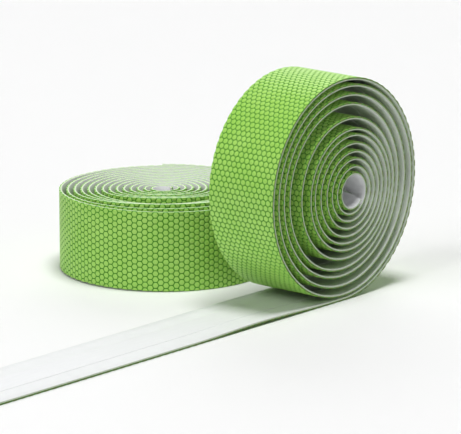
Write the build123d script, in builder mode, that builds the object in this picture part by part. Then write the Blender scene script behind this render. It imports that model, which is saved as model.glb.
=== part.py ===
from build123d import *
import os
from math import cos, pi, radians, sin

# A pair of rolls of bar grip tape, both wound green side out. One roll stands on its edge with
# its free end, the tail, lying straight out on the surface. The other lies flat behind it.
# The origin is on that surface, where the tail leaves the standing roll.
# +Z is up, the tail runs along -X and the standing roll's axis is along Y. Millimetres.

# The tape: four layers, counted inwards from the green outer surface
tape_width = 30.0
skin_thickness = 0.5
foam_thickness = 0.5
adhesive_thickness = 0.1
adhesive_width = 10.0
liner_thickness = 0.1
liner_overhang = 1.0

skin_depths = (0.0, skin_thickness)
foam_depths = (skin_depths[1], skin_depths[1] + foam_thickness)
adhesive_depths = (foam_depths[1], foam_depths[1] + adhesive_thickness)
liner_depths = (adhesive_depths[1], adhesive_depths[1] + liner_thickness)
tape_thickness = liner_depths[1]
liner_width = adhesive_width + 2 * liner_overhang

# The standing roll: half-turn arcs whose ends meet on one tilted line. It is wound loose on
# the upper left of that line and tight on the lower right. The gaps are the clear air between
# neighbouring turns where they cross the line, from the outermost turn inwards.
coil_core_radius = 6.9
coil_tilt = -22.0
loose_gaps = (0.2, 1.7, 1.8, 2.0, 5.7, 4.1, 1.2, 2.1, 2.3, 1.8, 1.8, 1.4)
tight_gaps = (0.5, 2.7, 2.7, 1.2, 0.8, 0.6, 1.4, 1.0, 1.3, 1.3, 1.3, 0.4)
coil_end_sweep = 166.0

# The tail: its length from the roll, where it bends when it is lifted, and the start of the liner's tab
tail_length = 200.0
tail_hinge_distance = 70.0
liner_tab_length = 35.0

# The flat roll: half-turn arcs at one even gap
flat_core_radius = 3.6
flat_gap = 1.44
flat_half_turns = 28
flat_end_sweep = 94.0
flat_outer_end_angle = 42.0
flat_end_arc = 70.0
roll_spacing = 14.5
flat_roll_x = -3.0


def wound_arcs(core_radius, pitches, first_angle, turn, end_sweep):
    """List a coil's arcs from the outside in, as [centre x, centre y, radius, start angle, sweep].

    The first arc's centre is at 0, 0. turn is 1 for anticlockwise and -1 for clockwise.
    """
    radius = core_radius + sum(pitches) / 2
    centre_x = 0.0
    centre_y = 0.0
    angle = first_angle
    arcs = []
    for pitch in pitches:
        arcs.append([centre_x, centre_y, radius, angle, turn * 180.0])
        angle += turn * 180.0
        radius -= pitch / 2
        centre_x += pitch / 2 * cos(radians(angle))
        centre_y += pitch / 2 * sin(radians(angle))
    arcs.append([centre_x, centre_y, radius, angle, turn * end_sweep])
    return arcs


def draw_arcs(arcs, depth):
    """Draw a coil's arcs at one depth below its outer surface."""
    for centre_x, centre_y, radius, angle, sweep in arcs:
        CenterArc((centre_x, centre_y), radius - depth, angle, sweep)


def point_on(arc, depth, share):
    """Find the point on an arc at one depth, a share of the way along it."""
    centre_x, centre_y, radius, angle, sweep = arc
    turned = radians(angle + sweep * share)
    reach = radius - depth
    return (centre_x + reach * cos(turned), centre_y + reach * sin(turned))


def arcs_length(arcs, depth):
    """Add up the length of a coil's arcs at one depth."""
    return sum(abs(radians(sweep)) * (radius - depth) for _, _, radius, _, sweep in arcs)


# Work out the standing roll's arcs. The first one runs from the surface up to the tilted line.
coil_pitches = []
for loose, tight in zip(loose_gaps, tight_gaps):
    coil_pitches.append(loose + tape_thickness)
    coil_pitches.append(tight + tape_thickness)
coil_arcs = wound_arcs(coil_core_radius, coil_pitches, coil_tilt - 180.0, 1, coil_end_sweep)
coil_arcs[0][3] = -90.0
coil_arcs[0][4] = 90.0 + coil_tilt
coil_radius = coil_arcs[0][2]

# Work out the flat roll's arcs. The outermost stretch can be opened, so it is a piece of its own.
flat_pitches = [flat_gap + tape_thickness] * flat_half_turns
flat_arcs = wound_arcs(flat_core_radius, flat_pitches, flat_outer_end_angle, -1, flat_end_sweep)
flat_radius = flat_arcs[0][2]
flat_end_arcs = [flat_arcs[0][:3] + [flat_outer_end_angle, -flat_end_arc]]
flat_arcs[0][3] -= flat_end_arc
flat_arcs[0][4] += flat_end_arc

standing_plane = Plane(origin=(0, 0, coil_radius), x_dir=(1, 0, 0), z_dir=(0, -1, 0))
tail_plane = Plane.XZ
flat_roll_y = tape_width / 2 + roll_spacing + flat_radius
flat_plane = Plane.XY.offset(tape_width / 2).move(Location((flat_roll_x, flat_roll_y, 0)))


def coil_outline(depths):
    """Draw one layer of the standing roll, with the stretch of tail that stays on the surface."""
    outer, inner = depths
    foot = -coil_radius
    draw_arcs(coil_arcs, outer)
    draw_arcs(coil_arcs, inner)
    Line(point_on(coil_arcs[-1], outer, 1), point_on(coil_arcs[-1], inner, 1))
    Polyline(
        (0, foot + outer),
        (-tail_hinge_distance, foot + outer),
        (-tail_hinge_distance, foot + inner),
        (0, foot + inner),
    )


def flat_outline(arcs, depths):
    """Draw one layer of a stretch of the flat roll."""
    outer, inner = depths
    draw_arcs(arcs, outer)
    draw_arcs(arcs, inner)
    Line(point_on(arcs[0], outer, 0), point_on(arcs[0], inner, 0))
    Line(point_on(arcs[-1], outer, 1), point_on(arcs[-1], inner, 1))


def tail_outline(start, end, depths):
    """Draw one layer of the straight tail between two distances from the roll."""
    outer, inner = depths
    Polyline((-start, outer), (-end, outer), (-end, inner), (-start, inner), close=True)


# Standing roll

with BuildPart() as coil_skin:
    with BuildSketch(standing_plane):
        with BuildLine():
            coil_outline(skin_depths)
        make_face()
    extrude(amount=tape_width / 2, both=True)
coil_skin.part.label = "coil_skin"

with BuildPart() as coil_foam:
    with BuildSketch(standing_plane):
        with BuildLine():
            coil_outline(foam_depths)
        make_face()
    extrude(amount=tape_width / 2, both=True)
coil_foam.part.label = "coil_foam"

with BuildPart() as coil_adhesive:
    with BuildSketch(standing_plane):
        with BuildLine():
            coil_outline(adhesive_depths)
        make_face()
    extrude(amount=adhesive_width / 2, both=True)
coil_adhesive.part.label = "coil_adhesive"

with BuildPart() as coil_liner:
    with BuildSketch(standing_plane):
        with BuildLine():
            coil_outline(liner_depths)
        make_face()
    extrude(amount=liner_width / 2, both=True)
coil_liner.part.label = "coil_liner"

# Tail of the standing roll, from its bend to its free end

with BuildPart() as tail_skin:
    with BuildSketch(tail_plane):
        with BuildLine():
            tail_outline(tail_hinge_distance, tail_length, skin_depths)
        make_face()
    extrude(amount=tape_width / 2, both=True)
tail_skin.part.label = "tail_skin"

with BuildPart() as tail_foam:
    with BuildSketch(tail_plane):
        with BuildLine():
            tail_outline(tail_hinge_distance, tail_length, foam_depths)
        make_face()
    extrude(amount=tape_width / 2, both=True)
tail_foam.part.label = "tail_foam"

with BuildPart() as tail_adhesive:
    with BuildSketch(tail_plane):
        with BuildLine():
            tail_outline(tail_hinge_distance, tail_length, adhesive_depths)
        make_face()
    extrude(amount=adhesive_width / 2, both=True)
tail_adhesive.part.label = "tail_adhesive"

with BuildPart() as tail_liner:
    with BuildSketch(tail_plane):
        with BuildLine():
            tail_outline(tail_hinge_distance, tail_length - liner_tab_length, liner_depths)
        make_face()
    extrude(amount=liner_width / 2, both=True)
tail_liner.part.label = "tail_liner"

with BuildPart() as liner_tab:
    with BuildSketch(tail_plane):
        with BuildLine():
            tail_outline(tail_length - liner_tab_length, tail_length, liner_depths)
        make_face()
    extrude(amount=liner_width / 2, both=True)
liner_tab.part.label = "liner_tab"

# Flat roll, without its outermost stretch

with BuildPart() as flat_skin:
    with BuildSketch(flat_plane):
        with BuildLine():
            flat_outline(flat_arcs, skin_depths)
        make_face()
    extrude(amount=tape_width / 2, both=True)
flat_skin.part.label = "flat_skin"

with BuildPart() as flat_foam:
    with BuildSketch(flat_plane):
        with BuildLine():
            flat_outline(flat_arcs, foam_depths)
        make_face()
    extrude(amount=tape_width / 2, both=True)
flat_foam.part.label = "flat_foam"

with BuildPart() as flat_adhesive:
    with BuildSketch(flat_plane):
        with BuildLine():
            flat_outline(flat_arcs, adhesive_depths)
        make_face()
    extrude(amount=adhesive_width / 2, both=True)
flat_adhesive.part.label = "flat_adhesive"

with BuildPart() as flat_liner:
    with BuildSketch(flat_plane):
        with BuildLine():
            flat_outline(flat_arcs, liner_depths)
        make_face()
    extrude(amount=liner_width / 2, both=True)
flat_liner.part.label = "flat_liner"

# Outermost stretch of the flat roll, which can be opened

with BuildPart() as flat_end_skin:
    with BuildSketch(flat_plane):
        with BuildLine():
            flat_outline(flat_end_arcs, skin_depths)
        make_face()
    extrude(amount=tape_width / 2, both=True)
flat_end_skin.part.label = "flat_end_skin"

with BuildPart() as flat_end_foam:
    with BuildSketch(flat_plane):
        with BuildLine():
            flat_outline(flat_end_arcs, foam_depths)
        make_face()
    extrude(amount=tape_width / 2, both=True)
flat_end_foam.part.label = "flat_end_foam"

with BuildPart() as flat_end_adhesive:
    with BuildSketch(flat_plane):
        with BuildLine():
            flat_outline(flat_end_arcs, adhesive_depths)
        make_face()
    extrude(amount=adhesive_width / 2, both=True)
flat_end_adhesive.part.label = "flat_end_adhesive"

with BuildPart() as flat_end_liner:
    with BuildSketch(flat_plane):
        with BuildLine():
            flat_outline(flat_end_arcs, liner_depths)
        make_face()
    extrude(amount=liner_width / 2, both=True)
flat_end_liner.part.label = "flat_end_liner"

# The length of tape in each roll, along the middle of its thickness
coil_tape = arcs_length(coil_arcs, tape_thickness / 2) + tail_length
flat_tape = arcs_length(flat_arcs + flat_end_arcs, tape_thickness / 2)
print(f"tape on the standing roll, with its tail: {coil_tape:.1f} mm")
print(f"tape on the flat roll: {flat_tape:.1f} mm")

hinge_x, hinge_y = point_on(flat_end_arcs[0], 0, 1)
print(f"tail hinge at x {-tail_hinge_distance:.3f}, z {tape_thickness:.3f}")
print(f"liner tab hinge at x {liner_tab_length - tail_length:.3f}, z {tape_thickness:.3f}")
print(f"flat end hinge at x {hinge_x + flat_roll_x:.3f}, y {hinge_y + flat_roll_y:.3f}")
print(f"flat roll axis at x {flat_roll_x:.3f}, y {flat_roll_y:.3f}")

pieces = [
    coil_skin, coil_foam, coil_adhesive, coil_liner,
    tail_skin, tail_foam, tail_adhesive, tail_liner, liner_tab,
    flat_skin, flat_foam, flat_adhesive, flat_liner,
    flat_end_skin, flat_end_foam, flat_end_adhesive, flat_end_liner,
]
os.makedirs("parts", exist_ok=True)
for piece in pieces:
    export_step(piece.part, f"parts/{piece.part.label}.step")
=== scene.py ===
import logging
import math
from dataclasses import dataclass, field
from enum import Enum
from typing import Sequence

import bpy
import numpy as np
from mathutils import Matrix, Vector


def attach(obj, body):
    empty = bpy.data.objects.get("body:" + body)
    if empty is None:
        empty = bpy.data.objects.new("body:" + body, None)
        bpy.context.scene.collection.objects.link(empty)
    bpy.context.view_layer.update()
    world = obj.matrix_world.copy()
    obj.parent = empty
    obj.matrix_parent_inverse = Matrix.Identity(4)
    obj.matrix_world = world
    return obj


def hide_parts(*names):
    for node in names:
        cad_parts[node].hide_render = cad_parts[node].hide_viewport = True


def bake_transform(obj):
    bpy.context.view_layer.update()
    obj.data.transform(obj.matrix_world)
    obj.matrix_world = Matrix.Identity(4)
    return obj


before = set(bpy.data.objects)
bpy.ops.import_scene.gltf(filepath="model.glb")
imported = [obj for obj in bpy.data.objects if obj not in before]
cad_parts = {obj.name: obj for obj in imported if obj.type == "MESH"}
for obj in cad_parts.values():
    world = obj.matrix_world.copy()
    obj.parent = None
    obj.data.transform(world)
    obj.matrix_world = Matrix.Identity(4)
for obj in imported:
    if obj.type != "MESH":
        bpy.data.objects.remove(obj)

LOG = logging.getLogger("grip_tape")
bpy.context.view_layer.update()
MM = 0.001
TINY = 1e-9
TOUCHING = 1e-7

Colour = tuple[float, float, float]
Range = tuple[float, float]


# Sizes ----------------------------------------------------------------------------------------


@dataclass(frozen=True)
class Tape:
    """The tape's layers, counted inwards from the green outer surface, in metres."""

    width: float = 30.0 * MM
    skin: float = 0.5 * MM
    foam: float = 0.5 * MM
    adhesive: float = 0.1 * MM
    adhesive_width: float = 10.0 * MM
    liner: float = 0.1 * MM
    liner_overhang: float = 1.0 * MM

    @property
    def thickness(self) -> float:
        """The whole tape's thickness."""
        return self.skin + self.foam + self.adhesive + self.liner


TAPE = Tape()


class Layer(Enum):
    """One strip of the tape: its material slot, its two depths and its width."""

    SKIN = ("skin", 0.0, TAPE.skin, TAPE.width)
    FOAM = ("foam", TAPE.skin, TAPE.skin + TAPE.foam, TAPE.width)
    ADHESIVE = (
        "adhesive",
        TAPE.skin + TAPE.foam,
        TAPE.thickness - TAPE.liner,
        TAPE.adhesive_width,
    )
    LINER = (
        "liner",
        TAPE.thickness - TAPE.liner,
        TAPE.thickness,
        TAPE.adhesive_width + 2 * TAPE.liner_overhang,
    )

    @property
    def slot(self) -> str:
        """The record's material slot."""
        return self.value[0]

    @property
    def depths(self) -> tuple[float, float]:
        """The layer's depths below the tape's outer surface, outer one first."""
        return self.value[1], self.value[2]

    @property
    def edges(self) -> tuple[float, float]:
        """Where the layer starts and ends across the tape, from the tape's near edge."""
        spare = (TAPE.width - self.value[3]) / 2
        return spare, TAPE.width - spare


# Finishes -------------------------------------------------------------------------------------


@dataclass(frozen=True)
class Grain:
    """A fine pattern in a surface: its size and depth in metres, and how strongly it shows."""

    size: float
    height: float
    strength: float
    detail: float = 3.0
    stretch: tuple[float, float, float] = (1.0, 1.0, 1.0)


class Nodes:
    """A new material's node tree, with short ways to add and join its nodes."""

    NOISE_ROUGHNESS = 0.55

    def __init__(self, name: str) -> None:
        """Start an empty material.

        Args:
            name: the material's name.
        """
        self.material = bpy.data.materials.new(name)
        self.material.use_nodes = True
        self.tree = self.material.node_tree
        self.shader = self.tree.nodes["Principled BSDF"]
        self.place = self.add("ShaderNodeTexCoord").outputs["Object"]

    def add(self, kind: str, **settings: object) -> bpy.types.Node:
        """Add a node.

        Args:
            kind: the node's type name.
            **settings: attributes to set on it.

        Returns:
            The new node.
        """
        node = self.tree.nodes.new(kind)
        for key, value in settings.items():
            setattr(node, key, value)
        return node

    def join(self, source: bpy.types.NodeSocket, target: bpy.types.NodeSocket) -> None:
        """Link one socket to another."""
        self.tree.links.new(source, target)

    def noise(
        self, size: float, detail: float, stretch: Sequence[float] = (1.0, 1.0, 1.0)
    ) -> bpy.types.NodeSocket:
        """Add a noise pattern.

        Args:
            size: the grain's size in metres.
            detail: how many finer octaves it has.
            stretch: how much denser the pattern is along each axis.

        Returns:
            The pattern's value, about 0 to 1.
        """
        mapping = self.add("ShaderNodeMapping")
        mapping.inputs["Scale"].default_value = tuple(stretch)
        noise = self.add("ShaderNodeTexNoise")
        noise.inputs["Scale"].default_value = 1.0 / size
        noise.inputs["Detail"].default_value = detail
        noise.inputs["Roughness"].default_value = self.NOISE_ROUGHNESS
        self.join(self.place, mapping.inputs["Vector"])
        self.join(mapping.outputs["Vector"], noise.inputs["Vector"])
        return noise.outputs["Fac"]

    def spread(
        self, source: bpy.types.NodeSocket, to: Range = (0.0, 1.0), ends: Range = (0.3, 0.7)
    ) -> bpy.types.NodeSocket:
        """Turn a pattern's value into a range of numbers.

        Args:
            source: the pattern.
            to: the numbers at its low and high end.
            ends: the pattern's values that count as its low and high end.

        Returns:
            The number.
        """
        node = self.add("ShaderNodeMapRange")
        node.inputs["From Min"].default_value = ends[0]
        node.inputs["From Max"].default_value = ends[1]
        node.inputs["To Min"].default_value = to[0]
        node.inputs["To Max"].default_value = to[1]
        self.join(source, node.inputs["Value"])
        return node.outputs["Result"]

    def mix(
        self,
        share: bpy.types.NodeSocket,
        first: Colour | bpy.types.NodeSocket,
        second: Colour | bpy.types.NodeSocket,
    ) -> bpy.types.NodeSocket:
        """Mix two colours.

        Args:
            share: how much of the second colour shows.
            first: a colour or a colour socket.
            second: a colour or a colour socket.

        Returns:
            The mixed colour.
        """
        node = self.add("ShaderNodeMix", data_type="RGBA")
        self.join(share, node.inputs["Factor"])
        for socket, colour in ((node.inputs[6], first), (node.inputs[7], second)):
            if isinstance(colour, bpy.types.NodeSocket):
                self.join(colour, socket)
            else:
                socket.default_value = (*colour, 1.0)
        return node.outputs[2]

    def press(self, grain: Grain) -> bpy.types.NodeSocket:
        """Add a grain and press it into the surface.

        Args:
            grain: the grain.

        Returns:
            The grain's value, about 0 to 1.
        """
        value = self.noise(grain.size, grain.detail, grain.stretch)
        node = self.add("ShaderNodeBump")
        node.inputs["Distance"].default_value = grain.height
        node.inputs["Strength"].default_value = grain.strength
        self.join(value, node.inputs["Height"])
        self.join(node.outputs["Normal"], self.shader.inputs["Normal"])
        return value

    def put(self, **values: object) -> None:
        """Set the shader's own sockets, or join patterns to them.

        Args:
            **values: a number, colour or pattern for each socket, named with _ for a space.
        """
        for key, value in values.items():
            socket = self.shader.inputs[key.replace("_", " ")]
            if isinstance(value, bpy.types.NodeSocket):
                self.join(value, socket)
            elif key.endswith("Color"):
                socket.default_value = (*value, 1.0)
            else:
                socket.default_value = value


@dataclass(frozen=True)
class SkinFinish:
    """Embossed polyurethane skin: paler on the cells' caps and deeper green in the grooves, the grooves'
    deeper green being painted shade.
    """

    name: str = "embossed_skin"
    cap: Colour = (0.365, 0.680, 0.105)
    cap_pale: Colour = (0.415, 0.720, 0.140)
    # groove: painted shade, the deeper green laid where the relief is low
    groove: Colour = (0.020, 0.290, 0.008)
    groove_shade_relief: Range = (0.48, 0.90)
    patch_size: float = 9.0 * MM
    patch_detail: float = 2.0
    roughness: Range = (0.58, 0.40)
    gloss: Range = (0.05, 0.80)
    gloss_relief: Range = (0.30, 0.90)
    grain: Grain = Grain(0.22 * MM, 0.03 * MM, 0.55)

    def material(self) -> bpy.types.Material:
        """Make the material.

        Returns:
            A green skin whose gloss follows the relief, and whose colour darkens into the grooves as
            painted shade.
        """
        nodes = Nodes(self.name)
        relief = nodes.add("ShaderNodeAttribute", attribute_name="relief").outputs["Fac"]
        patches = nodes.spread(nodes.noise(self.patch_size, self.patch_detail))
        caps = nodes.mix(patches, self.cap, self.cap_pale)
        # Painted shade: the colour turns to the groove green where the relief is low.
        nodes.put(
            Base_Color=nodes.mix(nodes.spread(relief, ends=self.groove_shade_relief), self.groove, caps),
            Roughness=nodes.spread(relief, self.roughness, (0.0, 1.0)),
            Specular_IOR_Level=nodes.spread(relief, self.gloss, self.gloss_relief),
        )
        nodes.press(self.grain)
        return nodes.material


@dataclass(frozen=True)
class FoamFinish:
    """Closed-cell foam backing: nearly white, matt, with a fine open grain and faint clouds."""

    name: str = "foam_backing"
    white: Colour = (0.820, 0.830, 0.835)
    shade: Colour = (0.770, 0.785, 0.785)
    cloud_size: float = 6.0 * MM
    cloud_detail: float = 2.0
    cloud_share: Range = (0.0, 0.5)
    pores: Grain = Grain(0.30 * MM, 0.05 * MM, 0.5, 4.0)
    pore_share: Range = (0.35, 0.0)
    pore_ends: Range = (0.30, 0.55)
    roughness: Range = (0.62, 0.85)

    def material(self) -> bpy.types.Material:
        """Make the material.

        Returns:
            A matt white foam.
        """
        nodes = Nodes(self.name)
        pores = nodes.press(self.pores)
        clouds = nodes.noise(self.cloud_size, self.cloud_detail)
        base = nodes.mix(nodes.spread(clouds, self.cloud_share), self.white, self.shade)
        nodes.put(
            Base_Color=nodes.mix(nodes.spread(pores, self.pore_share, self.pore_ends), base, self.shade),
            Roughness=nodes.spread(pores, self.roughness),
        )
        return nodes.material


@dataclass(frozen=True)
class GrainFinish:
    """What the plainer finishes share: two close colours, mixed and roughened by one fine grain."""

    name: str
    main: Colour
    other: Colour
    grain: Grain
    roughness: Range
    mixing: Range = (0.0, 1.0)
    ends: Range = (0.3, 0.7)
    gloss: float = 0.5

    def material(self) -> bpy.types.Material:
        """Make the material.

        Returns:
            The finish, with its grain in the colour, the roughness and the surface.
        """
        nodes = Nodes(self.name)
        grain = nodes.press(self.grain)
        nodes.put(
            Base_Color=nodes.mix(nodes.spread(grain, self.mixing, self.ends), self.main, self.other),
            Roughness=nodes.spread(grain, self.roughness),
            Specular_IOR_Level=self.gloss,
        )
        return nodes.material


@dataclass(frozen=True)
class CutFinish(GrainFinish):
    """The skin's cut edge and back: the same film without its emboss, duller, with drag marks; the
    standing roll's copy is darker with painted shade and the flat roll's copy paler with painted light.
    """

    grain: Grain = Grain(0.5 * MM, 0.05 * MM, 0.5, 4.0)
    roughness: Range = (0.60, 0.80)


@dataclass(frozen=True)
class FoamCutFinish(GrainFinish):
    """The foam's slit edges: small open cells, tinted with the skin's green and greyer than the foam's
    face; the standing roll's copy is darker with painted shade and the flat roll's copy paler with painted
    light.
    """

    grain: Grain = Grain(0.25 * MM, 0.05 * MM, 0.6)
    roughness: Range = (0.70, 0.90)
    mixing: Range = (1.0, 0.0)
    ends: Range = (0.32, 0.58)


@dataclass(frozen=True)
class LinerFinish(GrainFinish):
    """Release liner: smooth coated paper, white, with a low gloss and faint lengthwise streaks."""

    name: str = "release_liner"
    main: Colour = (0.805, 0.812, 0.822)
    other: Colour = (0.788, 0.796, 0.806)
    grain: Grain = Grain(0.8 * MM, 0.02 * MM, 0.35, 4.0, (0.12, 1.0, 1.0))
    roughness: Range = (0.50, 0.62)
    gloss: float = 0.25


@dataclass(frozen=True)
class AdhesiveFinish(GrainFinish):
    """The tacky strip under the liner: creamy and slightly wet, with a dimpled surface."""

    name: str = "adhesive_strip"
    main: Colour = (0.780, 0.770, 0.690)
    other: Colour = (0.700, 0.700, 0.620)
    grain: Grain = Grain(0.9 * MM, 0.05 * MM, 0.6)
    roughness: Range = (0.22, 0.38)


@dataclass(frozen=True)
class FloorFinish:
    """A plain pale studio floor."""

    name: str = "studio_floor"
    pale: Colour = (0.880, 0.880, 0.880)
    roughness: float = 0.9
    gloss: float = 0.1

    def material(self) -> bpy.types.Material:
        """Make the material.

        Returns:
            A matt pale grey.
        """
        nodes = Nodes(self.name)
        nodes.put(Base_Color=self.pale, Roughness=self.roughness, Specular_IOR_Level=self.gloss)
        return nodes.material


# Per-roll copies of the cut finishes. The standing roll's are darker: painted shade for its cut face,
# which turns away from the key lamp. The flat roll's are paler: painted light for its upward cut edges
# under the key lamp.
PAINTED_SHADE_CUT = CutFinish("skin_cut", (0.130, 0.200, 0.045), (0.220, 0.320, 0.085))
PAINTED_LIGHT_CUT = CutFinish("skin_cut_painted_light", (0.340, 0.660, 0.160), (0.480, 0.760, 0.280))
# Foam cut edges: the darker copy carries painted shade, the paler copy painted light.
PAINTED_SHADE_FOAM_CUT = FoamCutFinish("foam_cut", (0.580, 0.660, 0.530), (0.360, 0.450, 0.310))
PAINTED_LIGHT_FOAM_CUT = FoamCutFinish("foam_cut_painted_light", (0.780, 0.870, 0.680), (0.640, 0.770, 0.520))


class Finishes:
    """Every material that one roll wears, made once."""

    def __init__(self, cut: CutFinish, foam_cut: FoamCutFinish) -> None:
        """Make the materials.

        Args:
            cut: how the skin's cut edges look.
            foam_cut: how the foam's cut edges look.
        """
        self.worn = {
            Layer.SKIN: [SkinFinish().material(), cut.material()],
            Layer.FOAM: [FoamFinish().material(), foam_cut.material()],
            Layer.ADHESIVE: [AdhesiveFinish().material()],
            Layer.LINER: [LinerFinish().material()],
        }

    def of(self, layer: Layer) -> list[bpy.types.Material]:
        """List the materials that one layer wears."""
        return self.worn[layer]


# Paths ----------------------------------------------------------------------------------------


@dataclass(frozen=True)
class Telescope:
    """How a loose roll's turns stand above its foot along its front, and lean to its back.

    Heights and the lean are in millimetres, and angles in degrees, counted on over the turns.
    Front is where the turns stand highest, and outer_side where the outermost one does.
    """

    heights: tuple[float, ...] = (0, 0.75, 1.75, 1.15, 0.55, 0, 1.6, 1.2, 0.9, 0.9, 0.5, 0.3, 0.2, 0)
    front: float = -139.5
    outer_height: float = 0.5
    outer_side: float = -195.0
    fade: float = 1.5
    lean: float = 0.7
    lean_share: float = 0.2

    def depth(self, angle: np.ndarray, across: np.ndarray) -> np.ndarray:
        """Find how far the turns' upper edges lean towards the roll's middle.

        Args:
            angle: how far round the roll each point is.
            across: its distance from the tape's near edge.

        Returns:
            The extra depth at each point, in metres; negative where it leans outwards.
        """
        inside = np.clip((self.front - angle) / 360.0, 0.0, 1.0)
        upper = np.clip((across / TAPE.width - 1.0) / self.lean_share + 1.0, 0.0, 1.0) ** 2
        return MM * self.lean * inside * upper * np.cos(np.radians(angle - self.front))

    def rise(self, angle: np.ndarray) -> np.ndarray:
        """Find how far the tape stands above the roll's foot.

        Args:
            angle: how far round the roll each point is.

        Returns:
            The height at each point, in metres.
        """
        turn = np.rint((self.front - angle) / 360.0)
        turn = np.clip(turn, 0, len(self.heights) - 1).astype(int)
        rise = np.array(self.heights)[turn] * self.nearness(angle - self.front)
        outermost = np.abs(angle - self.outer_side) < 90.0
        return MM * (rise + outermost * self.outer_height * self.nearness(angle - self.outer_side))

    def nearness(self, turned: np.ndarray) -> np.ndarray:
        """Fade from 1 to 0 over a quarter turn each way."""
        return np.clip(np.cos(np.radians(turned)), 0.0, 1.0) ** self.fade


@dataclass
class Winding:
    """The path of a tape's outer surface, from its free end inwards.

    It is a straight run and then tangent arcs, drawn in a plane of its own. Each half turn has a
    pitch, the distance to the turn inside it, outermost first. Lengths along the path are
    measured at the middle of the tape's thickness. Its inner end's near corner is cut at a slant.
    """

    core_radius: float
    pitches: Sequence[float]
    first_angle: float
    turn: int
    end_sweep: float
    origin: Vector
    right: Vector
    up: Vector
    across: Vector
    first_sweep: float = 180.0
    straight: float = 0.0
    end_slant: float = 0.0
    slant_width: float = 11.0 * MM
    slant_reach: float = 60.0 * MM
    telescope: Telescope | None = None
    arcs: np.ndarray = field(init=False)
    starts: np.ndarray = field(init=False)
    length: float = field(init=False)

    def __post_init__(self) -> None:
        """Work out the arcs as rows of centre, radius, start angle and sweep, outside first."""
        radius = self.core_radius + sum(self.pitches) / 2
        centre = np.array([0.0, 0.0])
        angle = self.first_angle
        rows = []
        for pitch in self.pitches:
            rows.append([*centre, radius, angle, self.turn * 180.0])
            angle += self.turn * 180.0
            radius -= pitch / 2
            heading = math.radians(angle)
            centre = centre + pitch / 2 * np.array([math.cos(heading), math.sin(heading)])
        rows.append([*centre, radius, angle, self.turn * self.end_sweep])
        skipped = rows[0][4] - self.turn * self.first_sweep
        rows[0][3] += skipped
        rows[0][4] -= skipped
        self.arcs = np.array(rows)
        middle = self.arcs[:, 2] - TAPE.thickness / 2
        lengths = np.abs(np.radians(self.arcs[:, 4])) * middle
        self.starts = self.straight + np.concatenate([[0.0], np.cumsum(lengths)])
        self.length = float(self.starts[-1])

    @property
    def radius(self) -> float:
        """The outermost arc's radius."""
        return float(self.arcs[0, 2])

    def lay(self, along: np.ndarray, across: np.ndarray, depth: np.ndarray) -> np.ndarray:
        """Place points of the tape in space.

        Args:
            along: each point's distance from the free end.
            across: its distance from the tape's near edge.
            depth: its depth below the tape's outer surface.

        Returns:
            One row of x, y and z for each point.
        """
        along, across, depth = np.broadcast_arrays(along, across, depth)
        near_end = np.clip(1.0 - (self.length - along) / self.slant_reach, 0.0, 1.0)
        along = along + self.end_slant * np.clip(across, 0.0, self.slant_width) * near_end**2
        index = np.clip(np.searchsorted(self.starts, along, side="right") - 1, 0, len(self.arcs) - 1)
        x, y, radius, start, sweep = self.arcs[index].T
        turned = (along - self.starts[index]) / (radius - TAPE.thickness / 2)
        angle = np.radians(start) + np.sign(sweep) * turned
        flat = along < self.straight
        if self.telescope:
            depth = depth + self.telescope.depth(np.degrees(angle), across)
            across = across + self.telescope.rise(np.degrees(angle))
        reach = radius - depth
        right = np.where(flat, along - self.straight, x + reach * np.cos(angle))
        up = np.where(flat, depth - self.radius, y + reach * np.sin(angle))
        frame_axes = np.array([self.right, self.up, self.across])
        return np.stack([right, up, across], axis=-1) @ frame_axes + np.array(self.origin)

    def stations(self, start: float, end: float, step: float, turn_step: float = 4.0) -> np.ndarray:
        """Choose distances along the tape that follow its curve closely.

        Args:
            start: the first distance.
            end: the last distance.
            step: the longest step on the straight run.
            turn_step: the largest turn between two distances, in degrees.

        Returns:
            The distances in order.
        """
        chosen = [start]
        if start < self.straight:
            stop = min(end, self.straight)
            count = max(1, math.ceil((stop - start) / step))
            chosen.extend(np.linspace(start, stop, count + 1)[1:])
        for row, first, last in zip(self.arcs, self.starts[:-1], self.starts[1:]):
            low = max(start, first)
            high = min(end, last)
            if high - low < TINY:
                continue
            turned = math.degrees((high - low) / (row[2] - TAPE.thickness / 2))
            count = max(1, math.ceil(turned / turn_step))
            chosen.extend(np.linspace(low, high, count + 1)[1:])
        return np.array(chosen)


@dataclass(frozen=True)
class Ripple:
    """How the loose tail stands off the surface: a low swell near the roll and a rise at its end."""

    swell_at: float = 155.0 * MM
    swell_half: float = 38.0 * MM
    swell_height: float = 0.7 * MM
    twist: float = 0.45
    rise_length: float = 25.0 * MM
    rise_height: float = 0.5 * MM

    def lift(self, along: np.ndarray, across: np.ndarray) -> np.ndarray:
        """Find how far the tape is lifted.

        Args:
            along: distances from the free end.
            across: distances from the near edge.

        Returns:
            The lift at each point.
        """
        side = 1.0 - 2.0 * across / TAPE.width
        near = np.clip(np.abs(along - self.swell_at) / self.swell_half, 0.0, 1.0)
        swell = self.swell_height * np.cos(near * math.pi / 2) ** 2
        free = np.clip(1.0 - along / self.rise_length, 0.0, 1.0)
        rise = self.rise_height * free**2 * (3.0 - 2.0 * free)
        return swell * (1.0 - self.twist + self.twist * side) + rise


FLAT = Ripple(swell_height=0.0, rise_height=0.0)


# Meshes ---------------------------------------------------------------------------------------


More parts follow.
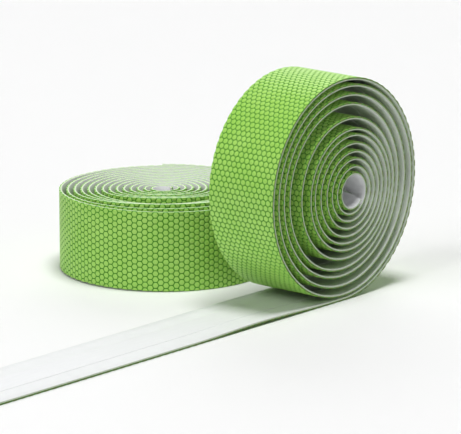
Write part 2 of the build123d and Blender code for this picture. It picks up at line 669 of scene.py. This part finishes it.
class Pattern:
    """A piece's points and faces, with each corner's place on the unrolled tape."""

    ROW = 150.0 * MM
    MARGIN = 3.0 * MM
    SHEET = ROW + 4 * MARGIN
    SHARP = math.radians(55)

    def __init__(self) -> None:
        """Start with no points and no faces."""
        self.points: list[np.ndarray] = []
        self.reliefs: list[np.ndarray] = []
        self.faces: list[tuple[np.ndarray, np.ndarray, int]] = []
        self.count = 0

    def add_points(self, points: np.ndarray, relief: np.ndarray | float = 1.0) -> int:
        """Add points.

        Args:
            points: one row of x, y and z each.
            relief: how high each one stands in the emboss, 0 to 1.

        Returns:
            The first one's number.
        """
        first = self.count
        self.points.append(points)
        self.reliefs.append(np.broadcast_to(relief, len(points)))
        self.count += len(points)
        return first

    def add_faces(self, corners: np.ndarray, unrolled: np.ndarray, slot: int = 0) -> None:
        """Add faces that all have the same number of corners.

        Args:
            corners: the points' numbers, one row for each face.
            unrolled: each corner's distance along and round the unrolled tape.
            slot: the material slot they wear.
        """
        self.faces.append((corners, unrolled, slot))

    def unrolled_map(self) -> np.ndarray:
        """Fold the unrolled tape into rows that fill a square.

        Returns:
            A place from 0 to 1 each way for each corner.
        """
        laid = np.concatenate([flat.reshape(-1, 2) for _, flat, _ in self.faces])
        start, low = laid.min(axis=0)
        end, high = laid.max(axis=0)
        row_height = high - low + self.MARGIN
        rows = int((end - start) // self.ROW) + 1
        places = []
        for _, flat, _ in self.faces:
            row = np.clip(flat[..., 0].min(axis=1, keepdims=True) - start, 0, None) // self.ROW
            along = flat[..., 0] - start - row * self.ROW + self.MARGIN / 2
            height = flat[..., 1] - low + row * row_height + self.MARGIN / 2
            places.append(np.stack([along / self.SHEET, height / (rows * row_height)], -1))
        return np.concatenate([place.reshape(-1, 2) for place in places])

    def build(self, name: str, materials: Sequence[bpy.types.Material]) -> bpy.types.Object:
        """Make the object.

        Args:
            name: the piece's name.
            materials: the materials for its slots.

        Returns:
            The new object, at the origin.
        """
        points = np.concatenate(self.points)
        loops = np.concatenate([corners.reshape(-1) for corners, _, _ in self.faces])
        sizes = np.concatenate([np.full(len(c), c.shape[1]) for c, _, _ in self.faces])
        slots = np.concatenate([np.full(len(c), slot) for c, _, slot in self.faces])
        mesh = bpy.data.meshes.new(name)
        mesh.vertices.add(len(points))
        mesh.vertices.foreach_set("co", points.astype(np.float32).reshape(-1))
        mesh.loops.add(len(loops))
        mesh.loops.foreach_set("vertex_index", loops.astype(np.int32))
        mesh.polygons.add(len(sizes))
        first = np.concatenate([[0], np.cumsum(sizes)[:-1]])
        mesh.polygons.foreach_set("loop_start", first.astype(np.int32))
        mesh.polygons.foreach_set("material_index", slots.astype(np.int32))
        mesh.update(calc_edges=True)
        relief = mesh.attributes.new("relief", "FLOAT", "POINT")
        relief.data.foreach_set("value", np.concatenate(self.reliefs).astype(np.float32))
        places = mesh.uv_layers.new(name="OFBake")
        places.uv.foreach_set("vector", self.unrolled_map().astype(np.float32).reshape(-1))
        for material in materials:
            mesh.materials.append(material)
        mesh.validate()
        mesh.shade_smooth()
        mesh.set_sharp_from_angle(angle=self.SHARP)
        piece = bpy.data.objects.new(name, mesh)
        bpy.context.scene.collection.objects.link(piece)
        return piece


@dataclass
class Band:
    """One plain strip of the tape: foam, adhesive or liner, with softened edges."""

    path: Winding
    layer: Layer
    ripple: Ripple = FLAT
    softening: float = 0.06 * MM
    divisions: int = 8

    @property
    def cut_slot(self) -> int:
        """The material slot of the cut edges: the foam's own, or the same as its faces."""
        return 1 if self.layer is Layer.FOAM else 0

    def cut_sides(self) -> np.ndarray:
        """Mark which sides of the section are cut edges."""
        sides = np.arange(len(self.section()))
        return (sides >= self.divisions) & (sides != self.divisions + 2)

    def section(self) -> np.ndarray:
        """Draw the strip's cross-section.

        Returns:
            Rows of distance across and depth, round the section.
        """
        near, far = self.layer.edges
        outer, inner = self.layer.depths
        soft = min(self.softening, (inner - outer) / 3)
        face = np.linspace(near + soft, far - soft, self.divisions + 1)
        back = [far, near]
        if self.layer is Layer.LINER:
            fold = TAPE.liner_overhang
            face = [near + soft, near + fold / 2, near + fold, far - fold, far - fold / 2, far - soft]
            back = [far, far - fold / 2, far - fold, near + fold, near + fold / 2, near]
        points = [(place, inner) for place in face] + [(far, inner - soft)]
        points += [(place, outer) for place in back] + [(near, inner - soft)]
        section = np.array(points)
        section[:, 1] -= self.pressed(section[:, 0])
        return section

    def pressed(self, across: np.ndarray) -> np.ndarray:
        """Find how far the liner's margins are pressed past the adhesive, onto the foam.

        Args:
            across: distances from the tape's near edge.

        Returns:
            How much nearer to the foam each point lies.
        """
        near, far = self.layer.edges
        past = 1.0 - np.minimum(across - near, far - across) / TAPE.liner_overhang
        step = TAPE.adhesive if self.layer is Layer.LINER else 0.0
        return step * np.clip(past, 0.0, 1.0)

    def pattern(self, start: float, end: float, step: float) -> Pattern:
        """Sweep the section along the tape and close both ends.

        Args:
            start: where the strip starts, from the free end.
            end: where it ends.
            step: the longest step on the straight run.

        Returns:
            The strip's points and faces.
        """
        pattern = Pattern()
        section = self.section()
        stations = self.path.stations(start, end, step)
        sides = len(section)
        along = np.repeat(stations, sides)
        across = np.tile(section[:, 0], len(stations))
        depth = np.tile(section[:, 1], len(stations)) + self.ripple.lift(along, across)
        pattern.add_points(self.path.lay(along, across, depth))
        steps = np.linalg.norm(np.roll(section, -1, axis=0) - section, axis=1)
        round_it = np.concatenate([[0.0], np.cumsum(steps)])
        ring = np.arange(len(stations) - 1)[:, None] * sides
        side = np.arange(sides)[None, :]
        after = (side + 1) % sides
        quads = np.stack([ring + side, ring + sides + side, ring + sides + after, ring + after], -1)
        low = np.broadcast_to(stations[:-1, None], quads.shape[:2])
        high = np.broadcast_to(stations[1:, None], quads.shape[:2])
        here = np.broadcast_to(round_it[:-1], quads.shape[:2])
        there = np.broadcast_to(round_it[1:], quads.shape[:2])
        unrolled = np.stack(
            [np.stack([low, high, high, low], -1), np.stack([here, here, there, there], -1)], -1
        )
        for chosen, slot in ((~self.cut_sides(), 0), (self.cut_sides(), self.cut_slot)):
            pattern.add_faces(quads[:, chosen].reshape(-1, 4), unrolled[:, chosen].reshape(-1, 4, 2), slot)
        for corners, place in (
            (np.arange(sides), start),
            (np.arange(sides)[::-1] + (len(stations) - 1) * sides, end),
        ):
            spot = section[corners % sides]
            unrolled = np.stack([place + spot[:, 1], spot[:, 0]], -1)
            pattern.add_faces(corners[None, :], unrolled[None], self.cut_slot)
        return pattern


class Column(Enum):
    """A column's place in a stretch, and the directions between which its cells lie, in degrees.

    They are given for its whole cells, then for its half cells on the near and the far edge.
    """

    FIRST = ((-90, 90), (0, 90), (-90, 0))
    MIDDLE = ((0, 360), (0, 180), (180, 360))
    LAST = ((90, 270), (90, 180), (180, 270))


@dataclass(frozen=True)
class Emboss:
    """Raised hexagon cells in columns across the tape, every other column half a cell higher.

    Each cell is a dome on a hexagon foot that it shares with its neighbours, so the grooves lie
    between the domes. A row of cells is cut in half along one edge of the tape. Each of the
    dome's two rings is a share of the foot's reach and of the groove's depth.
    """

    whole_cells: int = 13
    groove: float = 0.34 * MM
    rings: tuple[Range, Range] = ((0.87, 0.22), (0.70, 0.03))

    @property
    def pitch(self) -> float:
        """The distance between neighbouring cells in a column."""
        return TAPE.width / (self.whole_cells + 0.5)

    @property
    def reach(self) -> float:
        """The distance from a cell's centre to its corners."""
        return self.pitch / math.sqrt(3)

    @property
    def column(self) -> float:
        """The distance between neighbouring columns."""
        return 1.5 * self.reach

    def outline(self, first: int, last: int) -> np.ndarray:
        """Draw the foot of a cell or of the part of it between two directions.

        Args:
            first: the direction where the part starts, in degrees.
            last: the direction where it ends; a full turn on from first for a whole cell.

        Returns:
            The foot's corners, anticlockwise.
        """
        turns = [first] + [turn for turn in range(-360, 361, 60) if first < turn < last]
        if last - first < 360:
            turns.append(last)
        corners = []
        for turn in turns:
            reach = self.reach if turn % 60 == 0 else self.pitch / 2
            corners.append((reach * math.cos(math.radians(turn)), reach * math.sin(math.radians(turn))))
        return np.array(corners)

    def cells(self, first: int, last: int) -> list[tuple[np.ndarray, int, int]]:
        """List the cells of a stretch that starts and ends at the middle of a column.

        Args:
            first: the first column's number.
            last: the last column's number.

        Returns:
            For each kind of cell, its centres and the directions where it starts and ends.
        """
        columns = np.arange(first, last + 1)
        kinds = []
        for column, chosen in zip(Column, (columns[:1], columns[1:-1], columns[-1:])):
            cell, near_half, far_half = column.value
            for odd, edge, half in ((0, TAPE.width, far_half), (1, 0.0, near_half)):
                here = chosen[chosen % 2 == odd]
                rows = (np.arange(self.whole_cells) + (1 + odd) / 2) * self.pitch
                if len(here):
                    kinds.append((self.grid(here, rows), *cell))
                    kinds.append((self.grid(here, np.array([edge])), *half))
        return kinds

    def grid(self, columns: np.ndarray, rows: np.ndarray) -> np.ndarray:
        """Pair every column with every row.

        Args:
            columns: column numbers.
            rows: distances across the tape.

        Returns:
            The centres, as distances along and across.
        """
        along, across = np.meshgrid(columns * self.column, rows, indexing="ij")
        return np.stack([along.reshape(-1), across.reshape(-1)], -1)


@dataclass
class Skin:
    """The embossed outer skin: domed cells outside, plain inside, with cut edges."""

    path: Winding
    emboss: Emboss
    ripple: Ripple = FLAT

    def pattern(self, first: int, last: int) -> Pattern:
        """Build the skin between the middles of two columns.

        Args:
            first: the first column's number, counted from the free end.
            last: the last column's number.

        Returns:
            The skin's points and faces, closed all round.
        """
        flat, depth, faces = self.domes(first, last)
        pattern = Pattern()
        relief = 1.0 - depth / self.emboss.groove
        pattern.add_points(self.place(flat, depth), relief)
        for corners in faces:
            pattern.add_faces(corners, flat[corners])
        self.close(pattern, flat, depth, first * self.emboss.column, last * self.emboss.column)
        return pattern

    def place(self, flat: np.ndarray, depth: np.ndarray | float) -> np.ndarray:
        """Wind flat points onto the path, with the tail's lift."""
        return self.path.lay(flat[:, 0], flat[:, 1], depth + self.ripple.lift(flat[:, 0], flat[:, 1]))

    def domes(self, first: int, last: int) -> tuple[np.ndarray, np.ndarray, list[np.ndarray]]:
        """Lay out the cells flat, joining the feet of neighbours.

        Args:
            first: the first column's number.
            last: the last column's number.

        Returns:
            The points along and across, their depths, and the faces.
        """
        emboss = self.emboss
        feet, tops, foot_faces, top_faces = [], [], [], []
        foot_count, top_count = 0, 0
        for centres, low, high in emboss.cells(first, last):
            outline = emboss.outline(low, high)
            corners = len(outline)
            whole = high - low == 360
            feet.append((centres[:, None, :] + outline).reshape(-1, 2))
            rings = [(centres[:, None, :] + outline * reach, depth) for reach, depth in emboss.rings]
            rings.append((centres[:, None, :], 0.0))
            block = np.concatenate([ring for ring, _ in rings], axis=1)
            levels = np.concatenate([np.full(ring.shape[1], level) for ring, level in rings])
            tops.append((block.reshape(-1, 2), np.tile(levels, len(centres))))
            per_cell = block.shape[1]
            foot = foot_count + np.arange(len(centres))[:, None] * corners
            top = top_count + np.arange(len(centres))[:, None] * per_cell
            here = np.arange(corners if whole else corners - 1)
            there = (here + 1) % corners
            foot_faces.append((foot + here, foot + there, top + here, top + there))
            middle = np.broadcast_to(top + per_cell - 1, (len(centres), len(here)))
            inner = top + corners
            top_faces.append((top + here, top + there, inner + here, inner + there, middle))
            foot_count += len(centres) * corners
            top_count += len(centres) * per_cell
        kept, shared = self.join_feet(np.concatenate(feet))
        shift = len(kept)
        flat = np.concatenate([kept, *[points for points, _ in tops]])
        levels = np.concatenate([np.ones(shift), *[level for _, level in tops]])
        faces = []
        for near, far, top_near, top_far in foot_faces:
            quad = [shared[near], top_near + shift, top_far + shift, shared[far]]
            faces.append(np.stack(quad, -1).reshape(-1, 4))
        for near, far, inner_near, inner_far, middle in top_faces:
            faces.append(np.stack([near, inner_near, inner_far, far], -1).reshape(-1, 4) + shift)
            faces.append(np.stack([inner_near, middle, inner_far], -1).reshape(-1, 3) + shift)
        return flat, levels * emboss.groove, faces

    def join_feet(self, feet: np.ndarray) -> tuple[np.ndarray, np.ndarray]:
        """Find the corners that neighbouring cells' feet share.

        Args:
            feet: every foot's corners, along and across.

        Returns:
            The corners without their doubles, and each foot corner's number among them.
        """
        half = np.array([self.emboss.reach / 2, self.emboss.pitch / 2])
        spots = np.rint(feet / half).astype(np.int64)
        _, kept, shared = np.unique(spots, axis=0, return_index=True, return_inverse=True)
        return feet[kept], shared.reshape(-1)

    def close(
        self, pattern: Pattern, flat: np.ndarray, depth: np.ndarray, start: float, end: float
    ) -> None:
        """Add the cut edges, the back and the two ends.

        Args:
            pattern: the skin so far.
            flat: its points along and across.
            depth: their depths.
            start: where the skin starts along the tape.
            end: where it ends.
        """
        back = TAPE.skin
        feet = []
        for edge in (0.0, TAPE.width):
            top = np.flatnonzero(np.abs(flat[:, 1] - edge) < TOUCHING)
            top = top[np.argsort(flat[top, 0])]
            above = flat[top]
            foot = pattern.add_points(self.place(above, back), 0.0) + np.arange(len(top))
            feet.append((foot, above))
            quads = np.stack([top[:-1], top[1:], foot[1:], foot[:-1]], -1)
            high = TAPE.width + back if edge else -back
            below = np.stack([above[:, 0], np.full(len(above), high)], -1)
            unrolled = np.stack([above[:-1], above[1:], below[1:], below[:-1]], 1)
            if edge:
                quads, unrolled = quads[:, ::-1], unrolled[:, ::-1]
            pattern.add_faces(quads, unrolled, 1)
        self.add_back(pattern, feet)
        for place, order in ((start, 1), (end, -1)):
            top = np.flatnonzero(np.abs(flat[:, 0] - place) < TOUCHING)
            top = top[np.argsort(flat[top, 1])]
            tip = 0 if order == 1 else -1
            corners = np.concatenate([top, [feet[1][0][tip], feet[0][0][tip]]])[::order]
            across = np.concatenate([flat[top, 1], [TAPE.width, 0.0]])[::order]
            below = np.concatenate([depth[top], [back, back]])[::order]
            pattern.add_faces(corners[None, :], np.stack([place - below, across], -1)[None], 1)

    def add_back(self, pattern: Pattern, feet: list[tuple[np.ndarray, np.ndarray]]) -> None:
        """Close the skin's inner side with triangles from one cut edge to the other.

        Args:
            pattern: the skin so far.
            feet: for each edge, the numbers of its lower points and where they lie flat.
        """
        (near, near_flat), (far, far_flat) = feet
        corners, unrolled = [], []
        gap = 2 * TAPE.width + 4 * TAPE.skin
        i = j = 0
        while i < len(near) - 1 or j < len(far) - 1:
            step_near = j == len(far) - 1 or (
                i < len(near) - 1 and near_flat[i + 1, 0] <= far_flat[j + 1, 0]
            )
            if step_near:
                corners.append((near[i], near[i + 1], far[j]))
                unrolled.append((near_flat[i], near_flat[i + 1], far_flat[j]))
                i += 1
            else:
                corners.append((near[i], far[j + 1], far[j]))
                unrolled.append((near_flat[i], far_flat[j + 1], far_flat[j]))
                j += 1
        laid = np.array(unrolled)
        laid[..., 1] = gap - laid[..., 1]
        pattern.add_faces(np.array(corners), laid, 1)


# Sub-assemblies -------------------------------------------------------------------------------


@dataclass
class Roll:
    """What both rolls share: how a layer's stretch is made and logged."""

    finishes: Finishes
    path: Winding
    ripple: Ripple = FLAT
    emboss: Emboss = Emboss()

    def column_at(self, distance: float) -> int:
        """The number of the column of cells nearest to a distance along the tape."""
        return round(distance / self.emboss.column)

    def last_column(self) -> int:
        """The number of the last column that the tape holds."""
        return int(self.path.length / self.emboss.column)

    def skin_piece(self, name: str, first: int, last: int) -> bpy.types.Object:
        """Make a stretch of the embossed skin.

        Args:
            name: the piece's name.
            first: its first column of cells.
            last: its last column.

        Returns:
            The piece.
        """
        skin = Skin(self.path, self.emboss, self.ripple)
        piece = skin.pattern(first, last).build(name, self.finishes.of(Layer.SKIN))
        return self.declare(piece, (last - first) * self.emboss.column)

    def band_piece(
        self, name: str, layer: Layer, start: float, end: float, step: float = 2.5 * MM
    ) -> bpy.types.Object:
        """Make a stretch of one of the plain layers.

        Args:
            name: the piece's name.
            layer: which layer it is.
            start: where it starts, from the free end.
            end: where it ends.
            step: the longest step on the straight run.

        Returns:
            The piece.
        """
        band = Band(self.path, layer, self.ripple)
        piece = band.pattern(start, end, step).build(name, self.finishes.of(layer))
        return self.declare(piece, end - start)

    def declare(self, piece: bpy.types.Object, length: float) -> bpy.types.Object:
        """Log a piece's face count and how long it was cut.

        Args:
            piece: the piece.
            length: its length along the tape.

        Returns:
            The same piece.
        """
        LOG.info("%s: %d faces, %.0f mm long", piece.name, len(piece.data.polygons), length / MM)
        return piece


@dataclass
class StandingRoll:
    """The roll that stands on its edge, with its tail lying straight out from under it.

    The gaps between its turns are in millimetres, outside first, on the loose and the tight side.
    """

    finishes: Finishes
    core_radius: float = 6.9 * MM
    tilt: float = -22.0
    loose_gaps: tuple[float, ...] = (0.2, 1.7, 1.8, 2.0, 5.7, 4.1, 1.2, 2.1, 2.3, 1.8, 1.8, 1.4)
    tight_gaps: tuple[float, ...] = (0.5, 2.7, 2.7, 1.2, 0.8, 0.6, 1.4, 1.0, 1.3, 1.3, 1.3, 0.4)
    end_sweep: float = 166.0
    end_slant: float = 0.30
    tail_length: float = 200.0 * MM
    hinge_distance: float = 70.0 * MM
    bend_before: float = 5.0 * MM
    bend_after: float = 9.0 * MM
    tab_length: float = 35.0 * MM
    tab_bend_before: float = 1.0 * MM
    tab_bend_after: float = 7.0 * MM
    tab_root: float = 14.0 * MM
    tab_step: float = 0.5 * MM

    def winding(self) -> Winding:
        """Work out the roll's path.

        Returns:
            The tail's straight run, then the coil's arcs.
        """
        pitches = []
        for loose, tight in zip(self.loose_gaps, self.tight_gaps):
            pitches += [loose * MM + TAPE.thickness, tight * MM + TAPE.thickness]
        radius = self.core_radius + sum(pitches) / 2
        return Winding(
            core_radius=self.core_radius,
            pitches=pitches,
            first_angle=self.tilt - 180.0,
            turn=1,
            end_sweep=self.end_sweep,
            origin=Vector((0.0, -TAPE.width / 2, radius)),
            right=Vector((1, 0, 0)),
            up=Vector((0, 0, 1)),
            across=Vector((0, 1, 0)),
            first_sweep=90.0 + self.tilt,
            straight=self.tail_length,
            end_slant=self.end_slant,
        )

    def build(self) -> None:
        """Make the roll's four layers and the liner's tab, and join the middle and inner skin to the
        coil's body.
        """
        roll = Roll(self.finishes, self.winding(), Ripple())
        self.build_skin(roll)
        length = roll.path.length
        for layer in (Layer.FOAM, Layer.ADHESIVE):
            piece = roll.band_piece(f"standing_{layer.slot}", layer, 0.0, length)
            self.bend_at_tail(piece)
            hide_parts(f"coil_{layer.slot}", f"tail_{layer.slot}")
        tab_end = self.tab_length + self.tab_bend_before + self.tab_root
        liner = roll.band_piece("standing_liner", Layer.LINER, tab_end, length)
        self.bend_at_tail(liner)
        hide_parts("coil_liner", "tail_liner")
        tab = roll.band_piece("liner_tab_strip", Layer.LINER, 0.0, tab_end, self.tab_step)
        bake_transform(tab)
        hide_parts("liner_tab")

    def build_skin(self, roll: Roll) -> None:
        """Make the skin in three lengths: the tail with the outer turns, and two inside.

        Args:
            roll: the roll that makes the pieces.
        """
        last = roll.last_column()
        outer = last // 3
        inner = 2 * last // 3
        skin = roll.skin_piece("standing_skin_outer", 0, outer)
        self.bend_at_tail(skin)
        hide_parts("coil_skin", "tail_skin")
        for name, low, high in (("middle", outer, inner), ("inner", inner, last)):
            skin = roll.skin_piece(f"standing_skin_{name}", low, high)
            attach(skin, "standing_coil")
            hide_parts("coil_skin")

    def bend_at_tail(self, piece: bpy.types.Object) -> None:
        """Bake a layer's placement into its mesh.

        Args:
            piece: the layer's piece.
        """
        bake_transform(piece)


@dataclass
class FlatRoll:
    """The roll that lies on its side behind the standing one."""

    finishes: Finishes
    core_radius: float = 3.6 * MM
    gap: float = 1.44 * MM
    half_turns: int = 28
    end_sweep: float = 94.0
    outer_end_angle: float = 42.0
    end_arc: float = 70.0
    spacing: float = 14.5 * MM
    centre_x: float = -3.0 * MM
    bend_half: float = 13.0 * MM
    end_root: float = 8.0 * MM

    def winding(self) -> Winding:
        """Work out the roll's path.

        Returns:
            The coil's arcs, all at one even gap.
        """
        pitches = [self.gap + TAPE.thickness] * self.half_turns
        radius = self.core_radius + sum(pitches) / 2
        centre_y = TAPE.width / 2 + self.spacing + radius
        return Winding(
            core_radius=self.core_radius,
            pitches=pitches,
            first_angle=self.outer_end_angle,
            turn=-1,
            end_sweep=self.end_sweep,
            origin=Vector((self.centre_x, centre_y, 0.0)),
            right=Vector((1, 0, 0)),
            up=Vector((0, 1, 0)),
            across=Vector((0, 0, 1)),
            telescope=Telescope(),
        )

    def build(self) -> None:
        """Make the outermost stretch and the rest of the roll, layer by layer."""
        roll = Roll(self.finishes, self.winding())
        path = roll.path
        hinge = math.radians(self.end_arc) * (path.radius - TAPE.thickness / 2)
        seam = roll.column_at(hinge + self.bend_half + self.end_root)
        cut = seam * roll.emboss.column
        ends = [self.build_skin(roll, seam)]
        for layer in (Layer.FOAM, Layer.ADHESIVE, Layer.LINER):
            ends.append(roll.band_piece(f"flat_end_{layer.slot}_strip", layer, 0.0, cut))
            rest = roll.band_piece(f"flat_roll_{layer.slot}", layer, cut, path.length)
            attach(rest, "flat_roll")
            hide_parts(f"flat_{layer.slot}")
        middle = TAPE.width / 2
        fixed = Vector(path.lay(hinge + self.bend_half, middle, 0.0))
        moving = Vector(path.lay(hinge - self.bend_half, middle, 0.0))
        for piece, layer in zip(ends, Layer):
            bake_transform(piece)
            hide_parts(f"flat_end_{layer.slot}")

    def build_skin(self, roll: Roll, seam: int) -> bpy.types.Object:
        """Make the skin of the outermost stretch, and the rest of it in three lengths.

        Args:
            roll: the roll that makes the pieces.
            seam: the column of cells where the outermost stretch ends.

        Returns:
            The outermost stretch's skin, which isn't joined to a body yet.
        """
        end = roll.skin_piece("flat_end_skin_strip", 0, seam)
        last = roll.last_column()
        share = (last - seam) // 3
        for name, low, high in (
            ("outer", seam, seam + share),
            ("middle", seam + share, seam + 2 * share),
            ("inner", seam + 2 * share, last),
        ):
            skin = roll.skin_piece(f"flat_roll_skin_{name}", low, high)
            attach(skin, "flat_roll")
            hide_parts("flat_skin")
        return end


# Studio ---------------------------------------------------------------------------------------


@dataclass(frozen=True)
class Lamp:
    """A soft rectangular light that points at the rolls."""

    name: str
    azimuth: float
    elevation: float
    distance: float
    size: float
    power: float

    def place(self, aim: Vector) -> None:
        """Put the light in the scene.

        Args:
            aim: the point that it faces.
        """
        light = bpy.data.lights.new(self.name, "AREA")
        light.size = self.size
        light.energy = self.power
        lamp = bpy.data.objects.new(self.name, light)
        back = direction(self.azimuth, self.elevation)
        lamp.location = aim + back * self.distance
        lamp.rotation_euler = back.to_track_quat("Z", "Y").to_euler()
        bpy.context.scene.collection.objects.link(lamp)


def direction(azimuth: float, elevation: float) -> Vector:
    """Find the direction from which a view or a light looks at the rolls.

    Args:
        azimuth: degrees round the rolls; 0 looks along +Y.
        elevation: degrees above the surface.

    Returns:
        The unit vector from the rolls towards the eye.
    """
    turn = math.radians(azimuth)
    rise = math.radians(elevation)
    flat = math.cos(rise)
    return Vector((math.sin(turn) * flat, -math.cos(turn) * flat, math.sin(rise)))


@dataclass(frozen=True)
class Studio:
    """The pale floor, the soft light and the camera."""

    azimuth: float = -49.48
    elevation: float = 13.56
    distance: float = 1.55
    aim: tuple[float, float, float] = (-0.0395, 0.0056, 0.0355)
    lens: float = 335.6
    sensor: float = 36.0
    floor_radius: float = 5.0
    floor_sides: int = 72
    floor_drop: float = 0.1 * MM
    cove_radius: float = 2.5
    cove_steps: int = 10
    wall_height: float = 5.0
    sky: float = 0.06
    gamma: float = 0.9
    lamps: tuple[Lamp, ...] = (
        Lamp("key", 0.0, 84.0, 6.0, 2.0, 258.0),
        Lamp("side", -92.0, 42.0, 4.0, 1.6, 43.0),
        Lamp("back", 130.0, 28.0, 5.0, 3.0, 56.0),
    )

    def build(self) -> None:
        """Make the floor, the lights and the camera."""
        self.build_floor()
        world = bpy.data.worlds.new("studio")
        bpy.context.scene.world = world
        world.use_nodes = True
        sky = world.node_tree.nodes["Background"]
        sky.inputs["Color"].default_value = (1.0, 1.0, 1.0, 1.0)
        sky.inputs["Strength"].default_value = self.sky
        aim = Vector(self.aim)
        for lamp in self.lamps:
            lamp.place(aim)
        self.build_camera(aim)
        bpy.context.scene.view_settings.view_transform = "Standard"
        bpy.context.scene.view_settings.gamma = self.gamma
        LOG.info("studio: floor, sky, three lamps and a camera")

    def build_floor(self) -> None:
        """Lay the floor just under the rolls and curve it up into a wall all round."""
        rise = np.radians(np.linspace(0.0, 90.0, self.cove_steps))
        out = self.floor_radius + self.cove_radius * np.sin(rise)
        up = self.cove_radius * (1.0 - np.cos(rise)) - self.floor_drop
        profile = [*zip(out, up), (float(out[-1]), self.wall_height)]
        count = self.floor_sides
        turns = np.linspace(0.0, 2 * math.pi, count, endpoint=False)
        corners = [(r * math.cos(turn), r * math.sin(turn), z) for r, z in profile for turn in turns]
        faces = [tuple(range(count))]
        for ring in range(len(profile) - 1):
            first = ring * count
            for here in range(count):
                there = (here + 1) % count
                faces.append((first + there, first + here, first + count + here, first + count + there))
        mesh = bpy.data.meshes.new("floor")
        mesh.from_pydata(corners, [], faces)
        mesh.shade_smooth()
        mesh.polygons[0].use_smooth = False
        mesh.materials.append(FloorFinish().material())
        floor = bpy.data.objects.new("floor", mesh)
        bpy.context.scene.collection.objects.link(floor)

    def build_camera(self, aim: Vector) -> None:
        """Set up the camera with a long lens and everything in focus.

        Args:
            aim: the point at the middle of the view.
        """
        data = bpy.data.cameras.new("view")
        data.lens = self.lens
        data.sensor_width = self.sensor
        data.sensor_fit = "HORIZONTAL"
        camera = bpy.data.objects.new("view", data)
        back = direction(self.azimuth, self.elevation)
        camera.location = aim + back * self.distance
        camera.rotation_euler = back.to_track_quat("Z", "Y").to_euler()
        bpy.context.scene.collection.objects.link(camera)
        bpy.context.scene.camera = camera


def write_sizes() -> None:
    """Update the scene's view layer."""
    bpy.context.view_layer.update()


def main() -> None:
    """Build the studio and both rolls in order."""
    logging.basicConfig(level=logging.INFO, format="%(name)s: %(message)s")
    Studio().build()
    # The standing roll wears the cut finishes with painted shade, the flat roll those with painted light.
    StandingRoll(Finishes(PAINTED_SHADE_CUT, PAINTED_SHADE_FOAM_CUT)).build()
    FlatRoll(Finishes(PAINTED_LIGHT_CUT, PAINTED_LIGHT_FOAM_CUT)).build()
    write_sizes()


if __name__ == "__main__":
    main()
